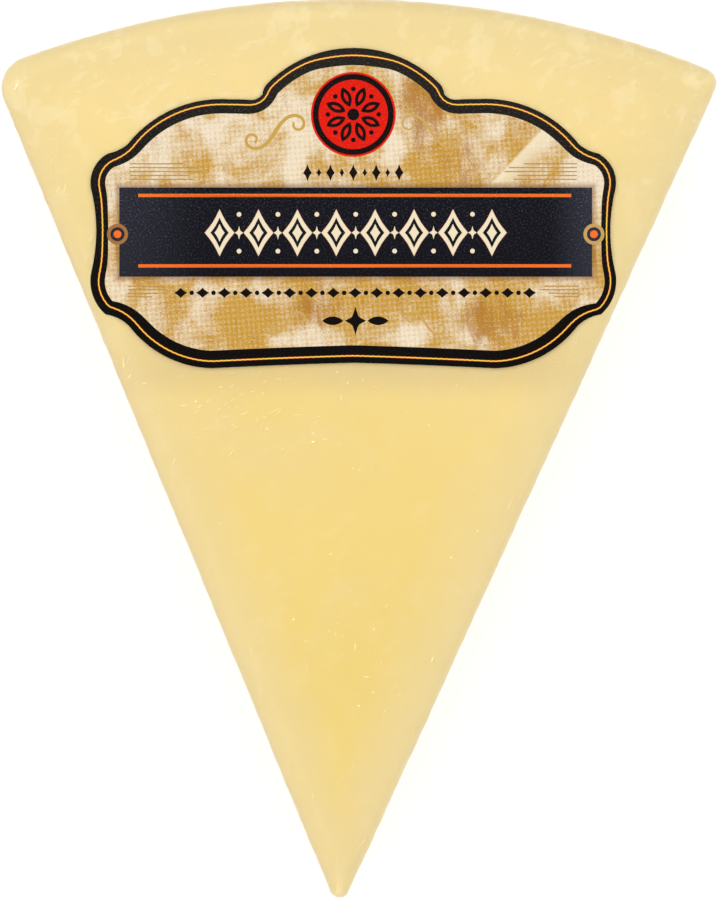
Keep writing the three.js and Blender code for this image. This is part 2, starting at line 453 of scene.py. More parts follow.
def push_out(piece, heights):
    """Moves each point of a piece along its normal by a height in millimetres."""
    mesh = piece.data
    count = len(mesh.vertices)
    place, normal = np.empty(count * 3), np.empty(count * 3)
    mesh.vertices.foreach_get("co", place)
    mesh.vertex_normals.foreach_get("vector", normal)
    place += normal * np.repeat(heights * MM, 3)
    mesh.vertices.foreach_set("co", place)
    mesh.update()


# Shader expressions

class Field:
    """A value over a surface: a socket with arithmetic, which adds Math nodes."""

    def __init__(self, finish, socket):
        self.finish = finish
        self.socket = socket

    def math(self, operation, *values):
        return self.finish.node("ShaderNodeMath", {"operation": operation}, dict(enumerate(values)))

    def __add__(self, other):
        return self.math("ADD", self, other)

    def __radd__(self, other):
        return self.math("ADD", other, self)

    def __sub__(self, other):
        return self.math("SUBTRACT", self, other)

    def __rsub__(self, other):
        return self.math("SUBTRACT", other, self)

    def __mul__(self, other):
        return self.math("MULTIPLY", self, other)

    def __rmul__(self, other):
        return self.math("MULTIPLY", other, self)

    def __truediv__(self, other):
        return self.math("DIVIDE", self, other)

    def __pow__(self, other):
        return self.math("POWER", self, other)

    def __abs__(self):
        return self.math("ABSOLUTE", self)

    def least(self, other):
        return self.math("MINIMUM", self, other)

    def most(self, other):
        return self.math("MAXIMUM", self, other)

    def sine(self):
        return self.math("SINE", self)

    def eased(self, low, high):
        """0 up to low, 1 from high on and a soft step between; low may be the larger."""
        return self.finish.node(
            "ShaderNodeMapRange",
            {"interpolation_type": "SMOOTHSTEP"},
            {"Value": self, "From Min": low, "From Max": high},
        )


class Bench:
    """A node tree under construction."""

    def __init__(self, owner):
        owner.use_nodes = True
        self.tree = owner.node_tree

    def node(self, kind, settings=None, values=None, out=0):
        """Adds a node: its settings first, then the values or links of its sockets."""
        made = self.tree.nodes.new(kind)
        for key, value in (settings or {}).items():
            setattr(made, key, value)
        for key, value in (values or {}).items():
            if isinstance(value, Field):
                self.tree.links.new(value.socket, made.inputs[key])
            else:
                made.inputs[key].default_value = value
        return Field(self, made.outputs[out])

    def split(self, vector):
        """The three parts of a vector."""
        first = self.node("ShaderNodeSeparateXYZ", None, {0: vector})
        return [Field(self, output) for output in first.socket.node.outputs]


class Finish(Bench):
    """A material under construction."""

    def __init__(self, name):
        self.material = bpy.data.materials.new(name)
        super().__init__(self.material)
        self.shader = self.tree.nodes["Principled BSDF"]
        self.output = self.tree.nodes["Material Output"]

    def place(self):
        """Where a point of the surface is, in millimetres from the wedge's own origin."""
        spot = self.node("ShaderNodeTexCoord", out="Object")
        spot = self.node("ShaderNodeVectorMath", {"operation": "SCALE"}, {0: spot, "Scale": 1 / MM})
        shift = (-ORIGIN[0], -ORIGIN[1], 0)
        return self.split(self.node("ShaderNodeVectorMath", {"operation": "ADD"}, {0: spot, 1: shift}))

    def noise(self, x, y, z, detail, roughness, distortion=0.0):
        """Soft noise from 0 to 1, whose grains are about one unit of x, y and z across."""
        place = self.node("ShaderNodeCombineXYZ", None, {0: x, 1: y, 2: z})
        values = {"Vector": place, "Scale": 1.0, "Detail": detail, "Roughness": roughness,
                  "Distortion": distortion}
        return self.node("ShaderNodeTexNoise", None, values)

    def mix(self, share, first, second):
        """A colour that goes from the first to the second as the share goes from 0 to 1."""
        first, second = (value if isinstance(value, Field) else (*value, 1.0) for value in (first, second))
        return self.node("ShaderNodeMix", {"data_type": "RGBA"}, {0: share, 6: first, 7: second}, out=2)

    def bump(self, height, distance):
        """Normals of a surface raised by a height from 0 to 1 times a distance in millimetres."""
        values = {"Height": height, "Distance": distance * MM, "Strength": 1.0}
        return self.node("ShaderNodeBump", None, values)

    def surface(self, **sockets):
        """Sets the shader's own sockets, named with underscores for spaces."""
        for key, value in sockets.items():
            socket = self.shader.inputs[key.replace("_", " ")]
            if isinstance(value, Field):
                self.tree.links.new(value.socket, socket)
            elif isinstance(value, tuple) and len(value) == 3 and len(socket.default_value) == 4:
                socket.default_value = (*value, 1.0)
            else:
                socket.default_value = value
        return self.material


# Settings that a user would change

class ChunkSettings(bpy.types.PropertyGroup):
    film_gap: FloatProperty(
        name="Film Gap", description="Depth of the cheese under the film", default=0.15 * MM,
        min=0, unit="LENGTH", subtype="DISTANCE")
    crease_height: FloatProperty(
        name="Crease Height", description="Height of the film's creases", default=0.06 * MM,
        min=0, unit="LENGTH", subtype="DISTANCE")
    core_colour: FloatVectorProperty(
        name="Core Colour", description="Cheese far from its edges", subtype="COLOR", size=3,
        default=tone(234, 212, 124), min=0, max=1)
    rear_colour: FloatVectorProperty(
        name="Rear Colour", description="Cheese near the rounded rear", subtype="COLOR", size=3,
        default=tone(238, 219, 160), min=0, max=1)
    edge_colour: FloatVectorProperty(
        name="Edge Colour", description="Cheese close to the cut sides", subtype="COLOR", size=3,
        default=tone(231, 213, 156), min=0, max=1)


class LabelSettings(bpy.types.PropertyGroup):
    border_colour: FloatVectorProperty(
        name="Border Colour", description="Ink of the label's border", subtype="COLOR", size=3,
        default=tone(8, 5, 3), min=0, max=1)
    band_colour: FloatVectorProperty(
        name="Band Colour", description="Ink of the band across the label", subtype="COLOR", size=3,
        default=tone(13, 12, 19), min=0, max=1)
    seal_colour: FloatVectorProperty(
        name="Seal Colour", description="Red of the round seal", subtype="COLOR", size=3,
        default=tone(225, 22, 11), min=0, max=1)


# Cheese

def cheese_finish(settings):
    """Pale, fine-grained cheese: yellower at its core, paler at its rear and its edges, with a painted shadow
    below the label.
    """
    finish = Finish("cheese")
    x, y, z = finish.place()
    to_side = y * math.sin(SIDE_ANGLE) - abs(x) * math.cos(SIDE_ANGLE)
    across, along = x - float(REAR_CENTRE[0]), y - float(REAR_CENTRE[1])
    to_rear = REAR_RADIUS - (across * across + along * along) ** 0.5
    inset = to_side.least(to_rear)
    clouds = finish.noise(x / 15, y / 19, z / 14, 2, 0.55, 0.4)
    colour = finish.mix(y.eased(25, 150), settings.core_colour, settings.rear_colour)
    colour = finish.mix(clouds.eased(0.42, 0.7) * 0.4, colour, settings.edge_colour)
    colour = finish.mix((inset + 9 * (clouds - 0.5)).eased(11, 1) * 0.95, colour, settings.edge_colour)
    wall = z.eased(29, 25)
    colour = finish.mix(wall * 0.65, colour, tone(241, 213, 143))
    flecked = (0.5 * y.eased(92, 116)).most(0.7 * wall)
    flecks = finish.noise((x * 0.9 + y * 0.43) / 2.6, (y * 0.9 - x * 0.43) / 1.2, z / 2, 3, 0.6)
    share = (flecks + 0.3 * (clouds - 0.5)).eased(0.57, 0.66) * (0.08 + 0.4 * flecked)
    colour = finish.mix(share, colour, tone(245, 235, 202))
    pockets = finish.noise(x / 3.8, y / 4.6, z / 4, 3, 0.55)
    share = pockets.eased(0.59, 0.615) * (0.06 + 0.42 * flecked)
    colour = finish.mix(share, colour, tone(244, 232, 195))
    # Painted shadow: the cheese is darkened in a band just below the label's lower edge.
    u, v = label_places(finish)
    painted_label_shadow = v.eased(-28, -22.5) * v.eased(-14, -19) * abs(u).eased(37, 24)
    colour = finish.mix(painted_label_shadow * 0.45, colour, tone(213, 190, 138))
    grain = finish.noise(x / 0.7, y / 0.7, z / 0.7, 2, 0.6)
    return finish.surface(
        Base_Color=colour,
        Roughness=0.48 + 0.12 * grain,
        Normal=finish.bump(grain, 0.005),
        Subsurface_Weight=0.1,
        Subsurface_Radius=(1.0, 0.62, 0.25),
        Subsurface_Scale=1.5 * MM,
        Specular_IOR_Level=0.3,
    )


def cheese_relief(points):
    """Heights of the grain, chips and pits of the cheese, in millimetres."""
    x, y, z = points.T
    wall = 1 - eased(z, THICKNESS - TOP_EDGE_RADIUS, THICKNESS)
    grain = field_of(lambda p: noise.fractal(p / 1.5, 0.9, 2.1, 3), points)
    chips = field_of(lambda p: noise.voronoi(p / 5.5)[0][0], points)
    rough = field_of(lambda p: noise.noise(p / 11), points)
    return 0.005 * grain * (1 + 9 * wall) - 0.1 * (0.15 + wall) * chips * eased(rough, -0.2, 0.5)


class CHUNK_OT_cheese(bpy.types.Operator):
    """Adds the cheese itself, a little inside the film"""
    bl_idname = "chunk.cheese"
    bl_label = "Cheese"

    def execute(self, context):
        settings = context.scene.chunk_settings
        lift = -settings.film_gap / MM
        points, faces = wedge_shell(lift, seed=4)
        piece = new_piece("cheese_block", points, faces, [cheese_finish(settings)])
        push_out(piece, cheese_relief(points))
        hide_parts(CHEESE_NODE)
        return {"FINISHED"}


# Film

def film_finish():
    """Thin clear film: what is behind it shows, and it mirrors more at a slant."""
    finish = Finish("clear_film")
    x, y, z = finish.place()
    creases = finish.noise(x / 1.6, y / 4, z / 4, 2, 0.6)
    normal = finish.bump(creases, 0.02)
    finish.surface(Base_Color=(1.0, 1.0, 1.0), Metallic=1.0, Roughness=0.16, Normal=normal)
    clear = finish.node("ShaderNodeBsdfTransparent", None, {"Color": (0.99, 0.99, 0.985, 1)})
    mirror = finish.node("ShaderNodeFresnel", None, {"IOR": 1.45, "Normal": normal})
    gloss = Field(finish, finish.shader.outputs[0])
    mixed = finish.node("ShaderNodeMixShader", None, {0: mirror, 1: clear, 2: gloss})
    finish.tree.links.new(mixed.socket, finish.output.inputs["Surface"])
    return finish.material


def ridge(value):
    """Thin crests where a noise value crosses zero."""
    return np.maximum(1 - 5 * np.abs(value), 0)


def film_relief(points, height):
    """Heights of the film's creases: fine at the edges, radiating at the corners, long on the walls."""
    x, y, z = points.T
    inset = np.maximum(inset_at(x, y), 0)
    near_edge = np.exp(-inset / 3.5)
    slanted = np.column_stack((x / 2.6 + y / 9, y / 5.5 - x / 12, z / 7))
    edge_folds = ridge(field_of(noise.noise, slanted)) * near_edge
    corners = (rear_corner(1, 1.5), rear_corner(-1, 2.5), np.array([0, 4.5]))
    folds = np.zeros(len(points))
    for index, corner in enumerate(corners):
        dx, dy = x - corner[0], y - corner[1]
        reach = np.hypot(dx, dy)
        turn = np.arctan2(dy, dx)
        spokes = field_of(noise.noise, np.column_stack((9 * turn / math.pi, reach / 14 + 7 * index, z / 16)))
        folds += ridge(spokes) * np.exp(-reach / 9) * eased(reach, 0.3, 2.5)
    calm = field_of(lambda p: noise.noise(p / 13), points)
    return height * (edge_folds + 0.8 * folds) + 0.05 * calm


class CHUNK_OT_film(bpy.types.Operator):
    """Adds the skin-tight clear film over the cheese"""
    bl_idname = "chunk.film"
    bl_label = "Film"

    def execute(self, context):
        settings = context.scene.chunk_settings
        points, faces = wedge_shell(0.0, seed=9)
        piece = new_piece("film_skin", points, faces, [film_finish()])
        resting = eased(points[:, 2], 0, 1.2)
        push_out(piece, film_relief(points, settings.crease_height / MM) * resting)
        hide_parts(CHEESE_NODE)
        return {"FINISHED"}


# Marks in the film: short creases and beads of trapped air

def crease_mark(middle, turn, length, half_width, bend):
    """A low ridge with pointed ends, closed below, about a middle; its heights are from the film."""
    share = np.linspace(-1, 1, 7)
    along = share * length / 2
    bow = bend * length * (1 - share**2)
    width = half_width * (1 - share**2) ** 0.7 + 0.005
    crest = MARK_HEIGHT * (1 - share**2)
    sunk = np.full(len(share), -MARK_DEPTH)
    cosine, sine = math.cos(turn), math.sin(turn)
    rows = []
    for side, rise in ((bow - width, sunk), (bow, crest), (bow + width, sunk)):
        x = middle[0] + along * cosine - side * sine
        y = middle[1] + along * sine + side * cosine
        rows.append(np.column_stack((x, y, rise)))
    count = len(share)
    faces = [(0, count, 2 * count), (count - 1, 3 * count - 1, 2 * count - 1)]
    for row in range(3):
        here, after = row * count, (row + 1) % 3 * count
        faces += [(here + i, here + i + 1, after + i + 1, after + i) for i in range(count - 1)]
    return np.vstack(rows), faces


def bead_mark(middle, radius):
    """A low dome of trapped air, closed below."""
    sides = 10
    angles = 2 * math.pi * np.arange(sides) / sides
    rings = [
        np.column_stack((
            middle[0] + radius * reach * np.cos(angles), middle[1] + radius * reach * np.sin(angles),
            np.full(sides, rise)))
        for reach, rise in ((1, -MARK_DEPTH), (0.75, 0.42 * radius), (0.35, 0.62 * radius))
    ]
    points = np.vstack((*rings, [[middle[0], middle[1], 0.66 * radius]]))
    faces = [tuple(range(sides))[::-1]]
    for i in range(sides):
        j = (i + 1) % sides
        for level in (0, sides):
            faces.append((level + i, level + j, level + sides + j, level + sides + i))
        faces.append((2 * sides + i, 2 * sides + j, 3 * sides))
    return points, faces


def scattered_creases(random):
    marks = []
    for middle, spread, count, heading, vary, longest in CREASE_GROUPS:
        for _ in range(count):
            spot = random.normal(middle, spread)
            turn = math.radians(random.normal(heading, vary))
            length = longest * random.uniform(0.2, 1)
            half_width = random.uniform(*CREASE_HALF_WIDTHS)
            marks.append(crease_mark(spot, turn, length, half_width, random.normal(0, 0.06)))
    for side, count in SIDE_CREASES:
        along_side = polar(math.pi / 2 - side * SIDE_ANGLE)
        inward = polar(math.pi / 2 + side * (math.pi / 2 - SIDE_ANGLE))
        for _ in range(count):
            spot = along_side * random.uniform(4, 128) + inward * (0.4 + abs(random.normal(0, 1.7)))
            turn = math.radians(random.normal(64, 12))
            length = random.uniform(*SIDE_CREASE_LENGTHS)
            half_width = random.uniform(*SIDE_CREASE_HALF_WIDTHS)
            marks.append(crease_mark(spot, turn, length, half_width, random.normal(0, 0.03)))
    return marks


def scattered_beads(random):
    return [
        bead_mark(random.normal(middle, spread), largest * random.uniform(0.5, 1))
        for middle, spread, count, largest in BEAD_GROUPS for _ in range(count)
    ]


def marks_piece(name, marks, crease_height, finish):
    """Joins marks into one piece that follows the film's top face, clear of its edge and the label."""
    label = on_wedge(label_outline(1.0))
    points, faces, total = [], [], 0
    for spots, patches in marks:
        if inset_at(*spots[:, :2].T).min() < MARK_MARGIN or inside(label, spots[:, :2]).any():
            continue
        film = np.column_stack((spots[:, :2], layer_height(spots[:, 0], spots[:, 1], 0)))
        rise = spots[:, 2] + film_relief(film, crease_height)
        points.append(film + np.column_stack((0 * rise, 0 * rise, rise)))
        faces += [tuple(corner + total for corner in patch) for patch in patches]
        total += len(spots)
    return new_piece(name, np.vstack(points), faces, [finish], smooth=False)


def mark_finish(name, faint, strong):
    """Where the film stands off the cheese: pale partly from the air under it and partly as a painted
    highlight for the film's glints, in some marks more than others.
    """
    finish = Finish(name)
    x, y, _ = finish.place()
    air_and_glint = finish.noise(x / 1.1, y / 1.1, 0.0, 1, 0.5).eased(0.35, 0.65)
    return finish.surface(
        Base_Color=finish.mix(air_and_glint, faint, strong), Roughness=0.4 - 0.15 * air_and_glint,
        Specular_IOR_Level=0.3)


class CHUNK_OT_marks(bpy.types.Operator):
    """Adds the fine creases and the beads of air in the film"""
    bl_idname = "chunk.marks"
    bl_label = "Film Marks"

    def execute(self, context):
        height = context.scene.chunk_settings.crease_height / MM
        random = np.random.default_rng(21)
        # Each kind of mark gets a faint and a strong pale colour; the paleness is partly a painted highlight
        # for the film's glints.
        for name, marks, faint, strong in (
            ("film_creases", scattered_creases(random), tone(238, 217, 150), tone(243, 227, 182)),
            ("air_beads", scattered_beads(random), tone(239, 221, 164), tone(245, 233, 200)),
        ):
            marks_piece(name, marks, height, mark_finish(name, faint, strong))
        return {"FINISHED"}


# Label outline

def bowed_points(begin, end, bow, spacing):
    """Points along an arc that bows out to the left of its direction, without its end."""
    begin, end = np.array(begin), np.array(end)
    chord = end - begin
    half = np.linalg.norm(chord) / 2
    radius = (half * half + bow * bow) / (2 * bow)
    outward = np.array([-chord[1], chord[0]]) / (2 * half)
    centre = (begin + end) / 2 + outward * (bow - radius)
    sweep = -2 * math.asin(half / radius)
    first = math.atan2(*(begin - centre)[::-1])
    steps = max(3, math.ceil(abs(sweep * radius) / spacing))
    return arc_points(centre, np.linalg.norm(begin - centre), first, first + sweep, steps)


def label_outline(spacing):
    """The label's outline about its own centre, counter-clockwise."""
    right, begin = [], LABEL_CROWN
    for _, x, y, bow in LABEL_ARCS:
        right.append(bowed_points(begin, (x, y), bow, spacing))
        begin = (x, y)
    right.append(np.array([begin]))
    right = np.vstack(right)
    left = right[1:-1] * (-1, 1)
    return np.vstack((left, right[::-1]))


def border_depth(outline, depths):
    """How far inside each point of the outline a printed line of the border lies."""
    u, v = outline.T
    depth = depths["foot"] + (depths["shoulder"] - depths["foot"]) * eased(v, *FOOT_TO_SHOULDER)
    depth = depth + (depths["crown"] - depths["shoulder"]) * eased(v, *SHOULDER_TO_CROWN)
    for side, name in ((-1, "left"), (1, "right")):
        depth = depth + (depths[name] - depth) * eased(side * u, *MIDDLE_TO_SIDE)
    waist = depths["waist"] * eased(np.abs(u), *MIDDLE_TO_SIDE)
    return depth + waist * eased(np.abs(v - WAIST_HEIGHT), *WAIST_SPAN)


def moved_in(outline, depth):
    """A closed outline moved inwards by one depth, or by one for each of its points."""
    inward = left_of(np.roll(outline, -1, 0) - np.roll(outline, 1, 0))
    moved = outline + inward * np.broadcast_to(depth, len(outline))[:, None]
    for _ in range(3):
        moved = (np.roll(moved, 1, 0) + 2 * moved + np.roll(moved, -1, 0)) / 4
    return moved


# Label artwork: closed shapes in millimetres from the label's centre, right and up

def disc(centre, radius, count=28):
    return arc_points(np.array(centre), radius, 0, 2 * math.pi, count)


def lozenge(centre, half_width, half_height, waist):
    """A diamond whose sides curve in by the waist."""
    corners = np.array([(half_width, 0), (0, half_height), (-half_width, 0), (0, -half_height)], float)
    outline = []
    for begin, end in zip(corners, np.roll(corners, -1, 0)):
        for share in (0, 0.25, 0.5, 0.75):
            bend = 1 - waist * math.sin(math.pi * share)
            outline.append((begin + (end - begin) * share) * bend)
    return np.array(centre) + np.array(outline)


def petal(centre, angle, begin, length, half_width):
    """A leaf that points away from a centre."""
    share = np.arange(9) / 8
    side = half_width * np.sin(math.pi * share) ** 0.8
    along = begin + length * share
    outline = np.vstack((np.column_stack((along, side)), np.column_stack((along, -side))[-2:0:-1]))
    turn = np.array([[math.cos(angle), math.sin(angle)], [-math.sin(angle), math.cos(angle)]])
    return np.array(centre) + outline @ turn


def bar(left, right, low, high):
    return np.array([(left, low), (right, low), (right, high), (left, high)], float)


def scroll(centre, size, turn, half_width, mirrored):
    """A flourish whose two ends curl up: it bends more and more from its middle out."""
    count = 72
    share = np.linspace(-1, 1, count)
    heading = turn + 2.1 * math.pi * np.abs(share) ** 2.3
    step = np.column_stack((np.cos(heading), np.sin(heading)))
    path = np.cumsum(step, 0)
    path = (path - path[count // 2]) / count * size
    width = half_width * (1.25 - 0.5 * np.abs(share))[:, None]
    side = np.column_stack((-step[:, 1], step[:, 0]))
    outline = np.vstack((path + side * width, (path - side * width)[::-1]))
    return np.array(centre) + outline * (mirrored, 1)


def frieze():
    """Diamonds and small stars across the band."""
    shapes = []
    for i in range(FRIEZE_COUNT):
        place = (BAND_MIDDLE[0] + (i - (FRIEZE_COUNT - 1) / 2) * FRIEZE_PITCH, FRIEZE_HEIGHT)
        for name, half_width, half_height in FRIEZE_DIAMONDS:
            shapes.append((name, lozenge(place, half_width, half_height, 0.1)))
        if i + 1 < FRIEZE_COUNT:
            between = (place[0] + FRIEZE_PITCH / 2, FRIEZE_HEIGHT)
            shapes.append(("cream_ink", lozenge(between, 0.62, 0.95, 0.4)))
            for lift in (-2.6, 2.6):
                shapes.append(("cream_ink", disc((between[0], FRIEZE_HEIGHT + lift), 0.34, 12)))
    return shapes


def seal():
    """Red disc in a dark ring, with a dark flower of eight petals."""
    centre = SEAL_CENTRE
    shapes = [
        ("seal_ink", disc(centre, 6.0, 72)),
        ("dark_ink", disc(centre, 5.72, 72)),
        ("seal_ink", disc(centre, 4.92, 64)),
    ]
    for i in range(8):
        angle = math.pi / 8 + i * math.pi / 4
        shapes.append(("dark_ink", petal(centre, angle, 1.15, 3.0, 0.72)))
        shapes.append(("seal_ink", petal(centre, angle, 1.9, 1.5, 0.24)))
        tip = np.array(centre) + polar(angle + math.pi / 8, 3.6)
        shapes.append(("dark_ink", disc(tip, 0.34, 12)))
    shapes.append(("dark_ink", disc(centre, 0.85, 20)))
    return shapes


def rivets():
    shapes = []
    for side, ring in ((-1, "brown_ring_ink"), (1, "pale_ring_ink")):
        centre = (BAND_MIDDLE[0] + side * RIVET_REACH, RIVET_HEIGHT)
        for name, radius in zip((ring, "band_ink", "orange_ink"), RIVET_RADII):
            shapes.append((name, disc(centre, radius)))
    return shapes


def small_ornaments():
    """Rows of diamonds and beads, scrolls, and engraved lines at the parchment's ends."""
    shapes = []
    for i in range(9):
        size = 1.0 if i % 2 == 0 else 0.55
        shapes.append(("dark_ink", lozenge(((i - 4) * 1.62, 5.05), 0.62 * size, 1.2 * size, 0.15)))
    for i in range(-16, 17):
        place = (0.25 + 1.54 * i, -11.95)
        mark = disc(place, 0.33, 12) if i % 2 else lozenge(place, 0.95, 0.72, 0.1)
        shapes.append(("dark_ink", mark))
    shapes.append(("dark_ink", lozenge(STAR_CENTRE, 1.5, 2.0, 0.38)))
    for side in (-1, 1):
        shapes.append(("dark_ink", petal(STAR_CENTRE, math.pi * (side < 0), 1.7, 3.0, 0.62)))
        name, half_width = ("faint_ink", 0.17) if side > 0 else ("scroll_ink", 0.23)
        shapes.append((name, scroll((side * 11.2, 10.6), 17.5, -1.0, half_width, side)))
        shapes.append(("faint_ink", scroll((STAR_CENTRE[0] + side * 10.0, -16.4), 11.5, -1.0, 0.15, side)))
        for end, highest, pitch, lengths in HATCHES:
            for row, length in enumerate(lengths):
                left, right = sorted((side * (end - length), side * end))
                low = highest - pitch * row
                shapes.append(("hatch_ink", bar(left, right, low, low + HATCH_WIDTH)))
    return shapes


def gold_line(outline):
    """The twisted gold line in the border: a gold wave on a dark amber stripe."""
    depth = border_depth(outline, GOLD_DEPTHS)
    outer, inner = moved_in(outline, depth - AMBER_HALF), moved_in(outline, depth + AMBER_HALF)
    middle = (outer + inner) / 2
    closed = np.vstack((middle, middle[:1]))
    length = np.concatenate(([0], np.cumsum(np.hypot(*np.diff(closed, axis=0).T))))
    count = TWIST_STEPS * round(length[-1] / TWIST_PITCH)
    stops = np.arange(count) * length[-1] / count
    spots = np.column_stack([np.interp(stops, length, closed[:, axis]) for axis in (0, 1)])
    inward = left_of(np.roll(spots, -1, 0) - np.roll(spots, 1, 0))
    wave = TWIST_SWAY * np.sin(2 * math.pi * np.arange(count) / TWIST_STEPS)[:, None]
    return [
        ("amber_ink", outer), ("gold_ink", spots + (wave - GOLD_HALF) * inward),
        ("amber_ink", spots + (wave + GOLD_HALF) * inward), ("border_ink", inner)]


def label_artwork(outline):
    """All printed shapes, each with its ink's name, from the lowest layer to the highest."""
    left, right = BAND_MIDDLE[0] - BAND_HALF[0], BAND_MIDDLE[0] + BAND_HALF[0]
    low, high = BAND_MIDDLE[1] - BAND_HALF[1], BAND_MIDDLE[1] + BAND_HALF[1]
    shapes = [("border_ink", outline), *gold_line(outline)]
    shapes.append(("parchment", moved_in(outline, border_depth(outline, PAPER_DEPTHS))))
    shapes += small_ornaments()
    shapes.append(("band_ink", bar(left, right, low, high)))
    for height in RULE_HEIGHTS:
        shapes.append(("orange_ink", bar(*RULE_ENDS, height - RULE_HALF, height + RULE_HALF)))
    return shapes + frieze() + seal() + rivets()


def inside(polygon, points):
    """Which points lie inside a closed polygon."""
    found = np.zeros(len(points), bool)
    near = np.all((points >= polygon.min(0)) & (points <= polygon.max(0)), axis=1)
    x, y = points[near].T
    odd = np.zeros(len(x), bool)
    for (ax, ay), (bx, by) in zip(polygon, np.roll(polygon, -1, 0)):
        if ay == by:
            continue
        crosses = (ay > y) != (by > y)
        odd ^= crosses & (x < ax + (y - ay) / (by - ay) * (bx - ax))
    found[near] = odd
    return found


def on_wedge(points):
    """Label places as places on the wedge."""
    cosine, sine = math.cos(LABEL_TURN), math.sin(LABEL_TURN)
    return points @ np.array([[cosine, sine], [-sine, cosine]]) + LABEL_CENTRE


def support_points(outline, coarseness):
    """Points between the printed shapes, closer together where the label bends over an edge."""
    low, high = outline.min(0), outline.max(0)
    grids = []
    for spacing, at_bend in ((FLAT_SPACING, False), (BEND_SPACING, True)):
        step = spacing * coarseness
        x, y = np.meshgrid(np.arange(low[0], high[0], step), np.arange(low[1], high[1], step))
        x[::2] += step / 2
        points = np.column_stack((x.ravel(), y.ravel()))
        bends = inset_at(*on_wedge(points).T) < TOP_EDGE_RADIUS + 1
        grids.append(points[bends == at_bend])
    points = np.vstack(grids)
    return points[inside(moved_in(outline, SUPPORT_MARGIN * coarseness), points)]


def split_by_shapes(shapes, extra):
    """Points, triangles and the topmost shape's index of each, for layered closed shapes."""
    points, edges = list(extra), []
    for _, polygon in shapes:
        first, count = len(points), len(polygon)
        points.extend(polygon)
        edges.extend((first + i, first + (i + 1) % count) for i in range(count))
    made = delaunay_2d_cdt([Vector(point) for point in points], edges, [], 0, 1e-5)
    flat = np.array(made[0])
    triangles = np.array([face for face in made[2] if triangle_area(flat[face]) > 1e-7])
    middles = flat[triangles].mean(1)
    topmost = np.full(len(triangles), -1)
    for index, (_, polygon) in enumerate(shapes):
        topmost[inside(polygon, middles)] = index
    kept = topmost >= 0
    return flat, triangles[kept], topmost[kept]


def label_places(finish):
    """The label's own right and up coordinates, in millimetres."""
    x, y, _ = finish.place()
    x, y = x - float(LABEL_CENTRE[0]), y - float(LABEL_CENTRE[1])
    cosine, sine = math.cos(LABEL_TURN), math.sin(LABEL_TURN)
    return x * cosine + y * sine, y * cosine - x * sine


def as_printed(colour):
    return tuple(value * PRINT_SHARE for value in colour)


def ink_finish(name, colour, speck=tone(200, 200, 200), speck_share=0.12, roughness=0.34, painted_end_sheen=0.0,
               top_lightening=0.0):
    """A flat ink with the fine specks and uneven sheen of offset print, lighter with more specks towards its
    top, and with a painted sheen at its ends.
    """
    finish = Finish(name)
    colour, speck = as_printed(colour), as_printed(speck)
    u, v = label_places(finish)
    specks = finish.noise(u / 0.24, v / 0.24, 0.0, 2, 0.6)
    cover = finish.noise(u / 3.5, v / 3.5, 5.0, 3, 0.6)
    # Painted sheen: towards both ends of the ink, most at the right, the colour is lightened and the specks
    # thickened.
    ends = u.eased(27, 34) + 0.7 * u.eased(-20, -33)
    share = 0.35 * specks.eased(0.42, 0.75) + 0.65 * specks.eased(0.62, 0.7)
    share = speck_share * share * (0.2 + 0.8 * v.eased(-18, 8)) * (1 + 8 * painted_end_sheen * ends) + painted_end_sheen * ends
    # The ink gets lighter towards the label's top by this share.
    share = share + top_lightening * v.eased(-4, 20)
    return finish.surface(
        Base_Color=finish.mix(share, colour, speck), Roughness=roughness - 0.06 + 0.14 * cover,
        Normal=finish.bump(0.6 * specks + 0.4 * cover, 0.02), Specular_IOR_Level=0.03)


def stained(u, v, stains):
    """How strongly stains cover a place: each is strongest at its middle and fades out softly."""
    total = 0
    for right, up, half_width, half_height, strength in stains:
        across, along = (u - right) / half_width, (v - up) / half_height
        total = total + (across * across + along * along).eased(1.7, 0) * strength
    return total


def parchment_finish():
    """Printed parchment: pale paper under a grainy ochre screen of soft dots, with placed stains."""
    finish = Finish("parchment")
    u, v = label_places(finish)
    streaks = finish.noise((u + 0.15 * v) / 3, v / 9, 0.0, 4, 0.6, 1.4)
    blotch = finish.noise(u / 6 + 3.0, v / 7, 2.0, 4, 0.64, 0.5)
    fine = finish.noise(u / 0.24, v / 0.24, 7.0, 2, 0.6)
    cosine, sine = math.cos(SCREEN_TURN), math.sin(SCREEN_TURN)
    rows = ((u * cosine + v * sine) * (2 * math.pi / SCREEN_PITCHES[0])).sine()
    columns = ((v * cosine - u * sine) * (2 * math.pi / SCREEN_PITCHES[1])).sine()
    pale = stained(u, v, PALE_STAINS)
    ochre = 0.6 + 2.6 * (blotch - 0.5) + stained(u, v, OCHRE_STAINS) - pale
    dots = 0.06 + 0.88 * ochre.eased(0.05, 0.95) + 0.09 * (rows + columns) + 1.5 * (fine - 0.5)
    colour = finish.mix(dots, as_printed(tone(242, 227, 200)), as_printed(tone(200, 151, 48)))
    brown = 2 * (streaks - 0.5) + 0.7 * (fine - 0.5) + stained(u, v, BROWN_STAINS) - 0.6 * pale
    colour = finish.mix(brown.eased(0, 0.9) * 0.8, colour, as_printed(tone(174, 114, 36)))
    across_fold = (u - FOLD_MIDDLE[0]) * math.sin(FOLD_TURN) - (v - FOLD_MIDDLE[1]) * math.cos(FOLD_TURN)
    fold = across_fold.eased(0, 0.5) * across_fold.eased(4.5, 0.5) * v.eased(2.2, 4.5)
    colour = finish.mix(fold * 0.75, colour, as_printed(tone(249, 237, 206)))
    beyond_side = abs(u - BAND_MIDDLE[0]) - BAND_HALF[0]
    beyond_end = abs(v - BAND_MIDDLE[1]) - BAND_HALF[1]
    glow = beyond_side.most(beyond_end).eased(1.0, 0.0)
    colour = finish.mix(glow * 0.62, colour, as_printed(tone(132, 82, 36)))
    return finish.surface(
        Base_Color=colour, Roughness=0.34 + 0.12 * fine, Specular_IOR_Level=0.06,
        Normal=finish.bump(0.5 * fine + 0.5 * dots, 0.015))


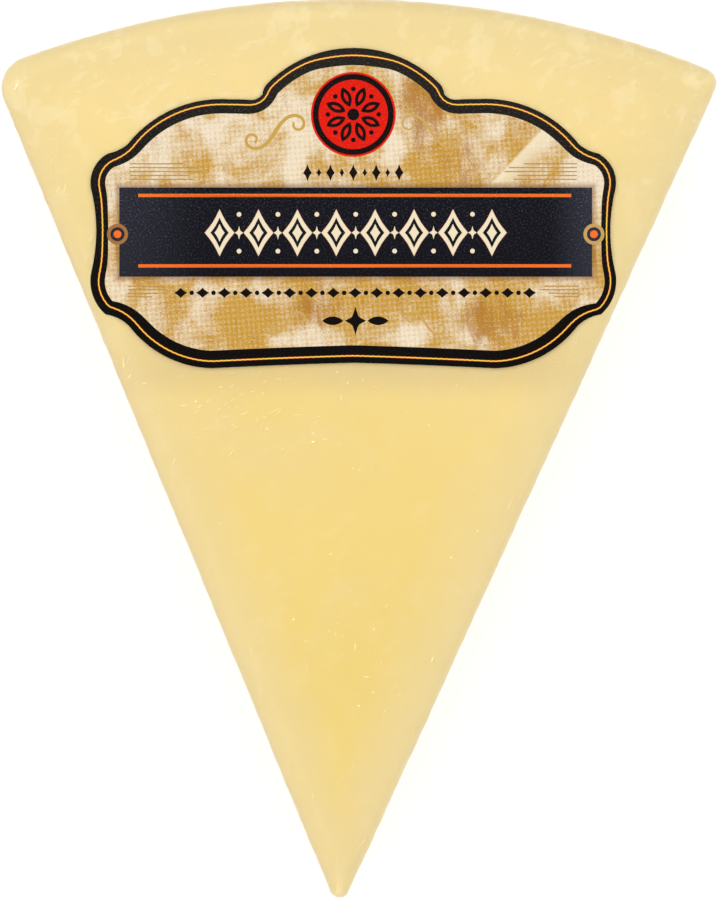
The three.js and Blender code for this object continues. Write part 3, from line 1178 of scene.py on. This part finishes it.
def label_finishes(settings):
    return {
        "border_ink": ink_finish("border_ink", settings.border_colour, tone(120, 115, 108), 0.4, top_lightening=0.06),
        "band_ink": ink_finish("band_ink", settings.band_colour, tone(118, 120, 140), 0.4, painted_end_sheen=0.11),
        "gold_ink": ink_finish("gold_ink", tone(255, 217, 86), tone(255, 240, 170)),
        "amber_ink": ink_finish("amber_ink", tone(190, 74, 14)),
        "orange_ink": ink_finish("orange_ink", tone(245, 110, 36), tone(252, 176, 84), 0.9),
        "cream_ink": ink_finish("cream_ink", tone(242, 226, 192), tone(214, 190, 150), 0.25),
        "misprint_ink": ink_finish("misprint_ink", tone(112, 48, 50)),
        "seal_ink": ink_finish("seal_ink", settings.seal_colour, tone(240, 110, 70), 0.4),
        "dark_ink": ink_finish("dark_ink", tone(15, 9, 8), tone(110, 70, 60), 0.3),
        "brown_ring_ink": ink_finish("brown_ring_ink", tone(166, 112, 62), tone(190, 140, 90), 0.4),
        "pale_ring_ink": ink_finish("pale_ring_ink", tone(200, 160, 94), tone(222, 188, 130), 0.4),
        "scroll_ink": ink_finish("scroll_ink", tone(203, 162, 74), tone(226, 200, 140), 0.4),
        "faint_ink": ink_finish("faint_ink", tone(206, 164, 92), tone(226, 200, 140), 0.5),
        "hatch_ink": ink_finish("hatch_ink", tone(186, 142, 78), tone(222, 190, 130), 0.5),
        "parchment": parchment_finish(),
        "paper": ink_finish("paper", tone(236, 230, 218), tone(220, 210, 195), 0.2, 0.6),
    }


class CHUNK_OT_label(bpy.types.Operator):
    """Adds the printed label on the film"""
    bl_idname = "chunk.label"
    bl_label = "Label"

    def execute(self, context):
        finishes = label_finishes(context.scene.label_settings)
        names = list(finishes)
        outline = label_outline(OUTLINE_SPACING)
        shapes = label_artwork(outline)
        flat, triangles, topmost = split_by_shapes(shapes, support_points(outline, 1))
        face_inks = [names.index(shapes[index][0]) for index in topmost]

        count = len(outline)
        back_flat, back_triangles, _ = split_by_shapes([("paper", outline)], support_points(outline, 2))
        rim = [int(np.argmin(np.sum((flat - spot) ** 2, 1))) for spot in outline]
        back_rim = [int(np.argmin(np.sum((back_flat - spot) ** 2, 1))) for spot in outline]
        top, back = on_wedge(flat), on_wedge(back_flat)
        top_height = layer_height(*top.T, LABEL_LIFT + LABEL_THICKNESS)
        back_height = layer_height(*back.T, LABEL_BACK)
        points = np.vstack((np.column_stack((top, top_height)), np.column_stack((back, back_height))))
        faces = [tuple(face) for face in triangles.tolist()]
        faces += [tuple(corner + len(flat) for corner in face[::-1]) for face in back_triangles.tolist()]
        face_inks += [names.index("paper")] * len(back_triangles)
        for i in range(count):
            j = (i + 1) % count
            faces.append((back_rim[i] + len(flat), back_rim[j] + len(flat), rim[j], rim[i]))
            face_inks.append(names.index("paper"))
        piece = new_piece("front_label", points, faces, list(finishes.values()))
        piece.data.polygons.foreach_set("material_index", face_inks)
        piece.data.update()
        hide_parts(LABEL_NODE)
        return {"FINISHED"}


# Stage

def soft_light(name, place, aim, size, power):
    lamp = bpy.data.lights.new(name, "AREA")
    lamp.shape = "SQUARE"
    lamp.size = size
    lamp.energy = power
    light = add_object(name, lamp)
    light.location = place
    light.rotation_euler = (Vector(aim) - Vector(place)).to_track_quat("-Z", "Y").to_euler()


class CHUNK_OT_stage(bpy.types.Operator):
    """Adds the pale floor, the soft lights and the camera that looks straight down"""
    bl_idname = "chunk.stage"
    bl_label = "Stage"

    def execute(self, context):
        scene = context.scene
        finish = Finish("pale_floor")
        finish.surface(
            Base_Color=(0.74, 0.74, 0.74), Roughness=0.8,
            Emission_Color=(1.0, 1.0, 1.0), Emission_Strength=0.18)
        mesh = bpy.data.meshes.new("floor")
        half = 1.5
        mesh.from_pydata([(-half, -half, 0), (half, -half, 0), (half, half, 0), (-half, half, 0)], [],
                         [(0, 1, 2, 3)])
        mesh.materials.append(finish.material)
        floor = add_object("floor", mesh)

        world = bpy.data.worlds.new("studio")
        bench = Bench(world)
        height = bench.split(bench.node("ShaderNodeTexCoord", out="Generated"))[2]
        strength = TENT_LIGHT * (TENT_FOOT + (1 - TENT_FOOT) * height.eased(0.1, 0.5))
        backdrop = world.node_tree.nodes["Background"]
        bench.tree.links.new(strength.socket, backdrop.inputs["Strength"])
        backdrop.inputs["Color"].default_value = (1.0, 1.0, 1.0, 1)
        scene.world = world
        soft_light("key", (-0.62, 0.25, 0.85), (0, 0, 0), 0.3, 1.0)
        soft_light("fill", (0.6, 0.23, 0.85), (0, 0, 0), 0.5, 0.6)
        scene.view_settings.view_transform = "Standard"

        camera = bpy.data.cameras.new("camera")
        camera.sensor_fit = "AUTO"
        view_height = PHOTO_HEIGHT / PIXELS_PER_MM
        camera.lens = camera.sensor_width * (CAMERA_DISTANCE - OUTLINE_HEIGHT) / view_height
        camera.clip_end = 20
        eye = add_object("camera", camera)
        spot = (ORIGIN + CAMERA_AIM) * MM
        eye.location = (spot[0], spot[1], CAMERA_DISTANCE * MM)
        eye.rotation_euler = (0, 0, CAMERA_TURN)
        scene.camera = eye
        return {"FINISHED"}


class CHUNK_PT_panel(bpy.types.Panel):
    """Sizes, colours and the operators that build the chunk"""
    bl_idname = "CHUNK_PT_panel"
    bl_label = "Parmesan Chunk"
    bl_space_type = "VIEW_3D"
    bl_region_type = "UI"
    bl_category = "Parmesan"

    def draw(self, context):
        for group in (context.scene.chunk_settings, context.scene.label_settings):
            for key in group.__annotations__:
                self.layout.prop(group, key)
        for operator in OPERATORS:
            self.layout.operator(operator.bl_idname)


OPERATORS = (CHUNK_OT_cheese, CHUNK_OT_film, CHUNK_OT_marks, CHUNK_OT_label, CHUNK_OT_stage)
CLASSES = (ChunkSettings, LabelSettings, *OPERATORS, CHUNK_PT_panel)


def register():
    for item in CLASSES:
        bpy.utils.register_class(item)
    bpy.types.Scene.chunk_settings = PointerProperty(type=ChunkSettings)
    bpy.types.Scene.label_settings = PointerProperty(type=LabelSettings)


def unregister():
    del bpy.types.Scene.label_settings
    del bpy.types.Scene.chunk_settings
    for item in reversed(CLASSES):
        bpy.utils.unregister_class(item)


def main():
    register()
    bpy.ops.chunk.cheese()
    bpy.ops.chunk.film()
    bpy.ops.chunk.marks()
    bpy.ops.chunk.label()
    bpy.ops.chunk.stage()


if __name__ == "__main__":
    main()
